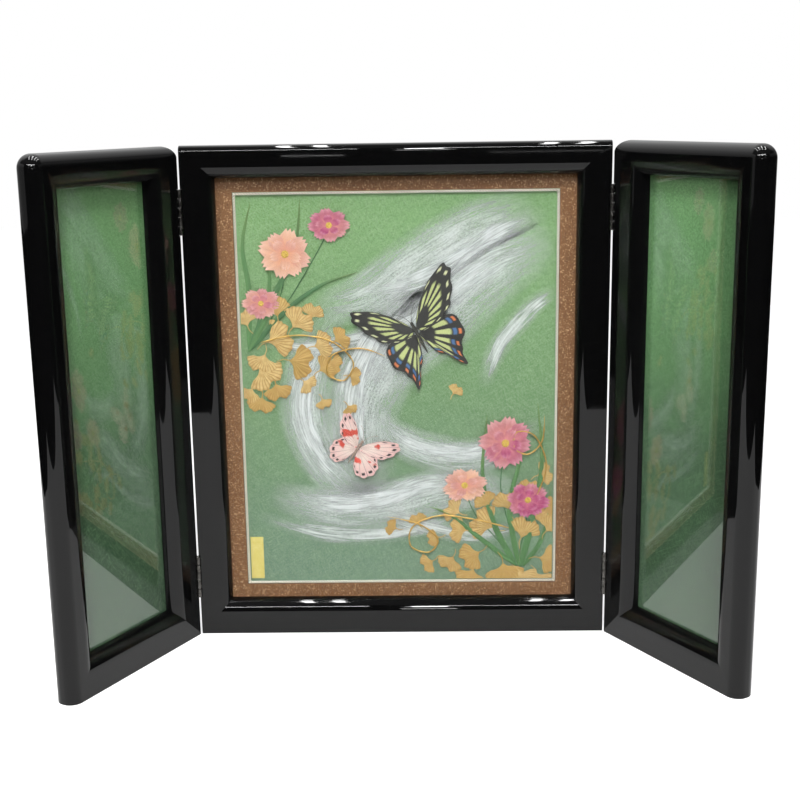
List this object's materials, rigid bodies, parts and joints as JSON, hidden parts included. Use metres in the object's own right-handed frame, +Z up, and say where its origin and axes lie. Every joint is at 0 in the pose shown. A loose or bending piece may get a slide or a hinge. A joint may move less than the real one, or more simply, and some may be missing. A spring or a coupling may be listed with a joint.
{
  "type": "folding screen",
  "caption": "Tabletop folding screen: a glazed picture panel in a glossy black frame, with a narrower glazed wing hinged at each side.",
  "frame": {"origin": "middle of the underside of the centre panel's bottom rail, on the surface the screen stands on", "axes": "+X across the centre panel, to the right of a viewer in front of it; +Y from the front to the back; +Z up"},
  "size_m": [0.5525, 0.1639, 0.43],
  "materials": {
    "lacquered_wood": "gloss black lacquer",
    "bare_wood": "unfinished",
    "glass": "clear, polished",
    "hinge_steel": "dark, satin",
    "screw_steel": "dark, satin",
    "picture_paper": "matt, speckled green",
    "wing_paper": "matt, speckled green",
    "mat_board": "matt, speckled brown",
    "twisted_cord": "twisted cream cord",
    "slip_paper": "matt gold",
    "back_board": "thin board, matt",
    "backing_card": "matt"
  },
  "bodies": {
    "centre_panel": {"centre_top_rail": "lacquered_wood", "centre_bottom_rail": "lacquered_wood", "centre_left_stile": "lacquered_wood", "centre_right_stile": "lacquered_wood", "centre_corner_keys": "bare_wood", "centre_glass": "glass", "spacer_strips": "bare_wood", "mat": "mat_board", "mat_cord": "twisted_cord", "centre_picture": "picture_paper", "title_slip": "slip_paper", "centre_back_panel": "back_board", "centre_back_screws": "screw_steel", "centre_leaf_screws": "screw_steel", "left_upper_fixed_leaf": "hinge_steel", "left_lower_fixed_leaf": "hinge_steel", "right_upper_fixed_leaf": "hinge_steel", "right_lower_fixed_leaf": "hinge_steel", "left_upper_pin": "hinge_steel", "left_lower_pin": "hinge_steel", "right_upper_pin": "hinge_steel", "right_lower_pin": "hinge_steel"},
    "left_wing": {"left_top_rail": "lacquered_wood", "left_bottom_rail": "lacquered_wood", "left_hinge_stile": "lacquered_wood", "left_outer_stile": "lacquered_wood", "left_corner_keys": "bare_wood", "left_glass": "glass", "left_picture": "wing_paper", "left_backing_card": "backing_card", "left_back_panel": "back_board", "left_back_screws": "screw_steel", "left_upper_wing_leaf": "hinge_steel", "left_lower_wing_leaf": "hinge_steel", "left_leaf_screws": "screw_steel"},
    "right_wing": {"right_top_rail": "lacquered_wood", "right_bottom_rail": "lacquered_wood", "right_hinge_stile": "lacquered_wood", "right_outer_stile": "lacquered_wood", "right_corner_keys": "bare_wood", "right_glass": "glass", "right_picture": "wing_paper", "right_backing_card": "backing_card", "right_back_panel": "back_board", "right_back_screws": "screw_steel", "right_upper_wing_leaf": "hinge_steel", "right_lower_wing_leaf": "hinge_steel", "right_leaf_screws": "screw_steel"}
  },
  "joints": [
    {"name": "left_wing_hinge", "type": "hinge", "parent": "centre_panel", "child": "left_wing", "pos_m": [-0.17945, -0.0114, 0.215], "axis": [0, 0, 1], "range_deg": [-62, 118]},
    {"name": "right_wing_hinge", "type": "hinge", "parent": "centre_panel", "child": "right_wing", "pos_m": [0.17945, -0.0114, 0.215], "axis": [0, 0, -1], "range_deg": [-59, 121]}
  ]
}
